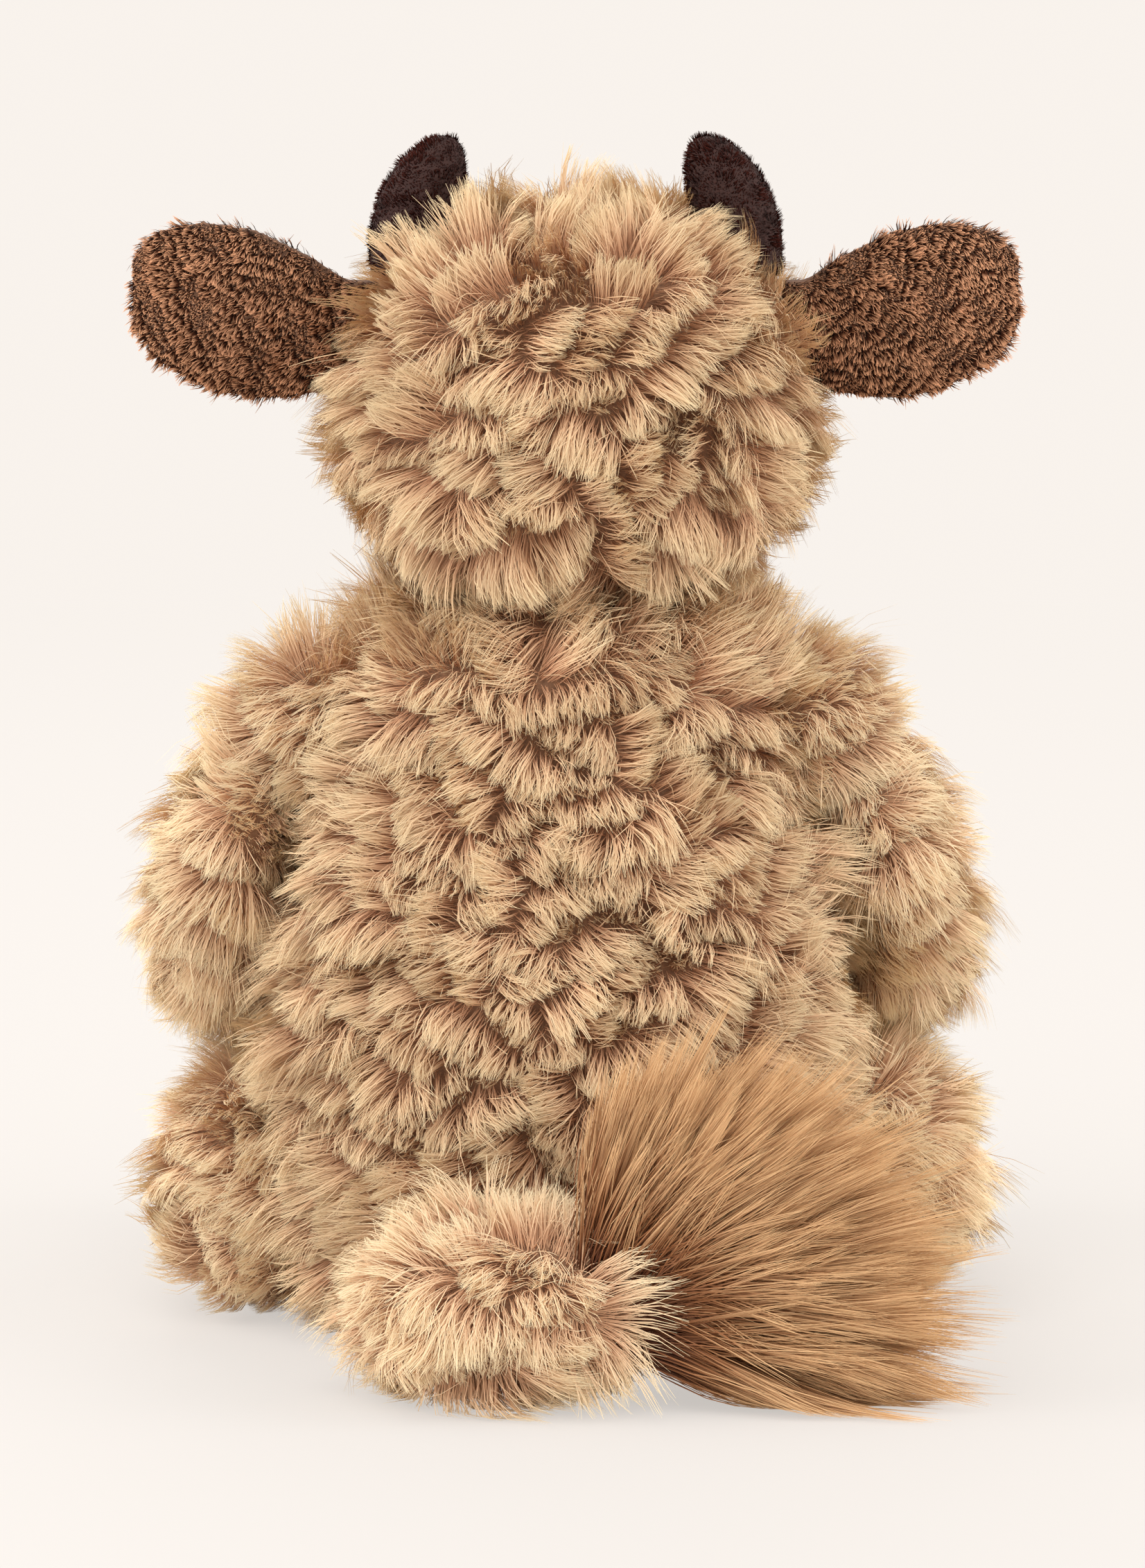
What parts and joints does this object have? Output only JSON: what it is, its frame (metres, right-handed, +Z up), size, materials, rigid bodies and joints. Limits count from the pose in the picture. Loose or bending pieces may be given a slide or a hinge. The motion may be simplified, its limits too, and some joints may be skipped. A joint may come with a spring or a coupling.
{
  "type": "plush cow",
  "caption": "Sitting stuffed toy cow in long tan fur, with brown plush ears, dark suede horns and hooves, a weighted seat and a long-haired tail",
  "frame": {"origin": "middle of the flat base that the toy sits on, at floor level", "axes": "+Z up, the face towards -Y, the cow's own left side at +X"},
  "size_m": [0.1988, 0.2193, 0.2701],
  "materials": {
    "fur": "matte",
    "muzzle_plush": "matte",
    "ear_plush": "matte",
    "long_hair": "satin",
    "suede": "matte",
    "stuffing": "matte",
    "pouch_cloth": "matte",
    "eye_gloss": "gloss",
    "washer_plastic": "matte"
  },
  "bodies": {
    "torso": {"back_left_cover": "fur", "back_right_cover": "fur", "belly_cover": "fur", "base_cover": "fur", "pellet_pouch": "pouch_cloth", "body_stuffing": "stuffing"},
    "neck": {"neck_stuffing": "stuffing"},
    "head": {"head_cover_left": "fur", "head_cover_right": "fur", "eye_left": "eye_gloss", "eye_right": "eye_gloss", "eye_washer_left": "washer_plastic", "eye_washer_right": "washer_plastic", "nostril_left": "suede", "nostril_right": "suede", "horn_left": "suede", "horn_right": "suede", "head_stuffing": "stuffing", "muzzle": "muzzle_plush"},
    "tail": {"tail_cover": "fur", "tail_stuffing": "stuffing", "tail_tuft": "long_hair"},
    "ear_left": {"ear_left": "ear_plush", "ear_lining_left": "ear_plush"},
    "arm_left": {"arm_cover_left": "fur", "arm_stuffing_left": "stuffing", "arm_hoof_left": "suede"},
    "leg_left": {"leg_cover_left": "fur", "leg_stuffing_left": "stuffing", "leg_hoof_left": "suede"},
    "ear_right": {"ear_right": "ear_plush", "ear_lining_right": "ear_plush"},
    "arm_right": {"arm_cover_right": "fur", "arm_stuffing_right": "stuffing", "arm_hoof_right": "suede"},
    "leg_right": {"leg_cover_right": "fur", "leg_stuffing_right": "stuffing", "leg_hoof_right": "suede"}
  },
  "joints": [
    {"name": "head_turn", "type": "hinge", "parent": "torso", "child": "neck", "pos_m": [-0.0032, -0.003, 0.1583], "axis": [0, 0, 1], "range_deg": [-25, 25], "stiffness_Nm_per_rad": 1},
    {"name": "head_nod", "type": "hinge", "parent": "neck", "child": "head", "pos_m": [-0.0032, -0.003, 0.1996], "axis": [1, 0, 0], "range_deg": [-10, 10], "stiffness_Nm_per_rad": 2},
    {"name": "tail_swing", "type": "hinge", "parent": "torso", "child": "tail", "pos_m": [0.01, 0.055, 0.024], "axis": [0, 0, 1], "range_deg": [-20, 20], "stiffness_Nm_per_rad": 0.1},
    {"name": "arm_lift_left", "type": "hinge", "parent": "torso", "child": "arm_left", "pos_m": [0.062, -0.001, 0.136], "axis": [-1, 0, 0], "range_deg": [0, 60]},
    {"name": "leg_splay_left", "type": "hinge", "parent": "torso", "child": "leg_left", "pos_m": [0.066, -0.004, 0.0308], "axis": [0, 0, 1], "range_deg": [0, 35]},
    {"name": "ear_fold_left", "type": "hinge", "parent": "head", "child": "ear_left", "pos_m": [0.0453, -0.002, 0.2253], "axis": [0, 0, 1], "range_deg": [-25, 25], "stiffness_Nm_per_rad": 0.05},
    {"name": "arm_lift_right", "type": "hinge", "parent": "torso", "child": "arm_right", "pos_m": [-0.062, -0.001, 0.136], "axis": [-1, 0, 0], "range_deg": [0, 60]},
    {"name": "leg_splay_right", "type": "hinge", "parent": "torso", "child": "leg_right", "pos_m": [-0.066, -0.004, 0.0308], "axis": [0, 0, -1], "range_deg": [0, 35]},
    {"name": "ear_fold_right", "type": "hinge", "parent": "head", "child": "ear_right", "pos_m": [-0.0517, -0.002, 0.2253], "axis": [0, 0, -1], "range_deg": [-25, 25], "stiffness_Nm_per_rad": 0.05}
  ]
}
